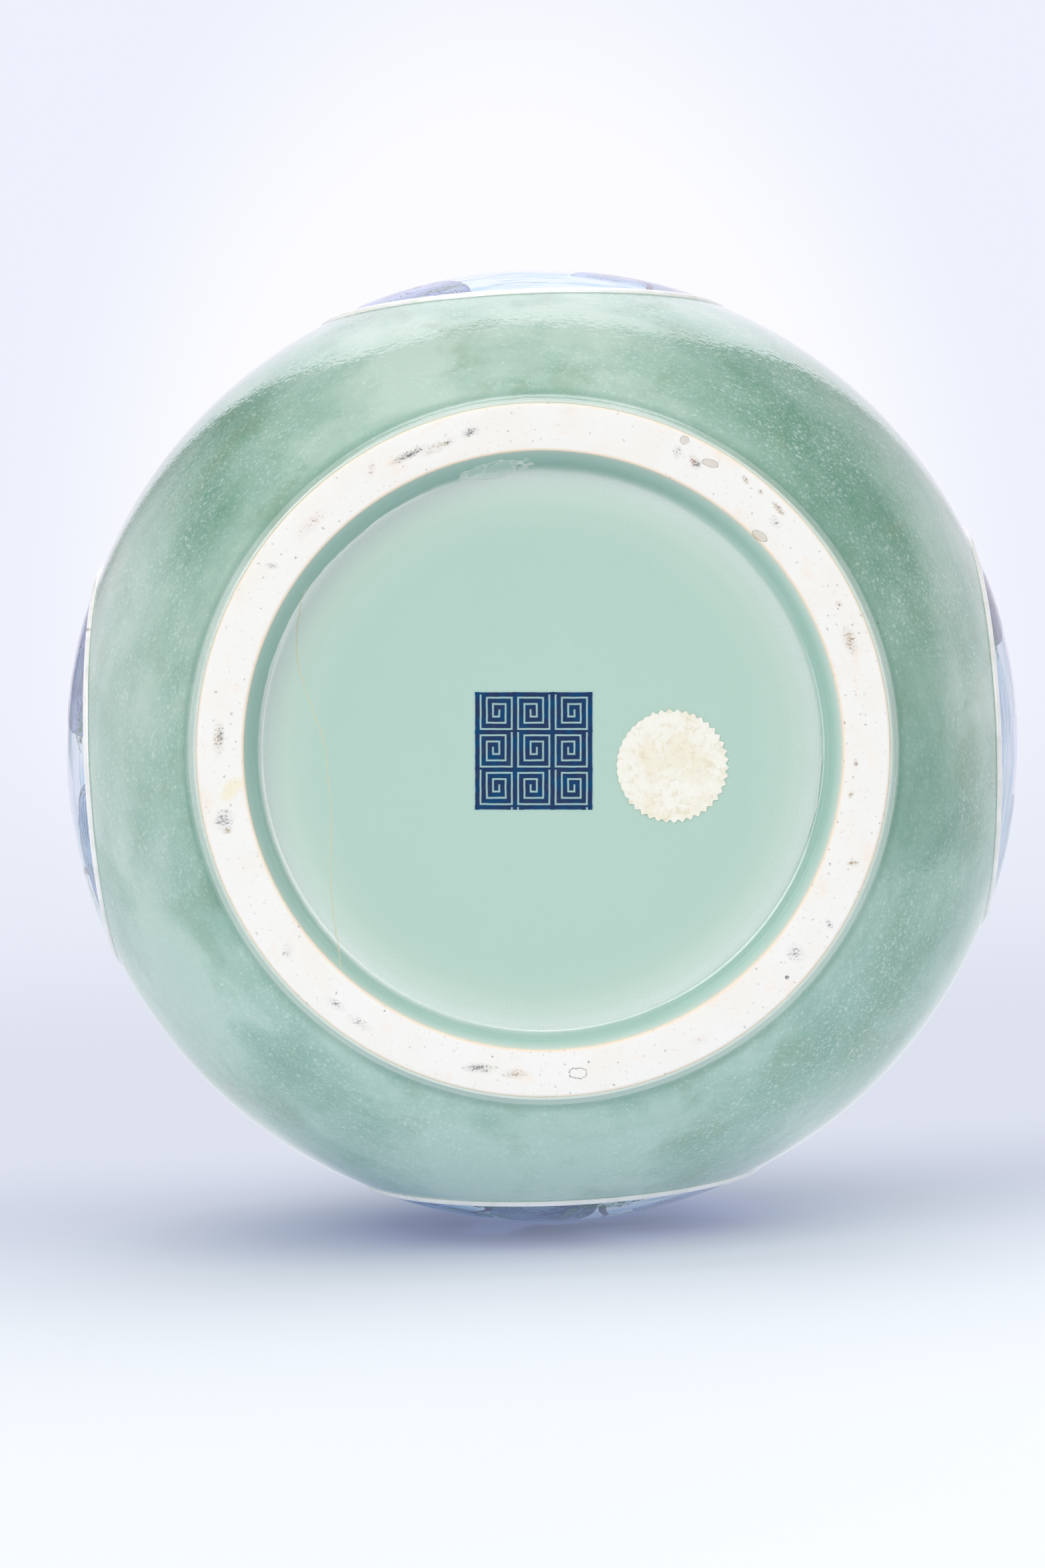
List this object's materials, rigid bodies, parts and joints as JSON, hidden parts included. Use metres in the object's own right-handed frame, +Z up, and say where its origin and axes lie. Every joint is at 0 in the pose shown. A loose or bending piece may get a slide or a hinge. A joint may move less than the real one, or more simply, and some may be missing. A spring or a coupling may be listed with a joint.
{
  "type": "vase",
  "caption": "Globular porcelain vase with a broad bare foot rim, recessed base, long neck and raised round medallions in slip borders on the body.",
  "frame": {"origin": "centre of the foot rim's standing plane, at the bottom of the vase", "axes": "+Z up along the vase's axis to the mouth; -Y towards the front medallion, +X towards the right one; the paper label under the base lies towards +X"},
  "size_m": [0.3128, 0.3128, 0.4751],
  "materials": {
    "celadon_glaze": "glossy mottled sea-green glaze",
    "base_glaze": "glossy smooth pale celadon glaze",
    "foot_biscuit": "matt unglazed white rim with kiln grit and burn lines",
    "medallion_enamel": "glossy pale ground painted in blue, green and rose",
    "border_slip": "glossy raised white slip",
    "label_paper": "matt aged cream paper"
  },
  "bodies": {
    "root": {"foot_ring": "foot_biscuit", "base_plate": "base_glaze", "lower_body": "celadon_glaze", "upper_body": "celadon_glaze", "neck": "celadon_glaze", "mouth_rim": "celadon_glaze", "front_medallion": "medallion_enamel", "front_border": "border_slip", "right_medallion": "medallion_enamel", "right_border": "border_slip", "back_medallion": "medallion_enamel", "back_border": "border_slip", "left_medallion": "medallion_enamel", "left_border": "border_slip", "paper_label": "label_paper"}
  },
  "joints": []
}
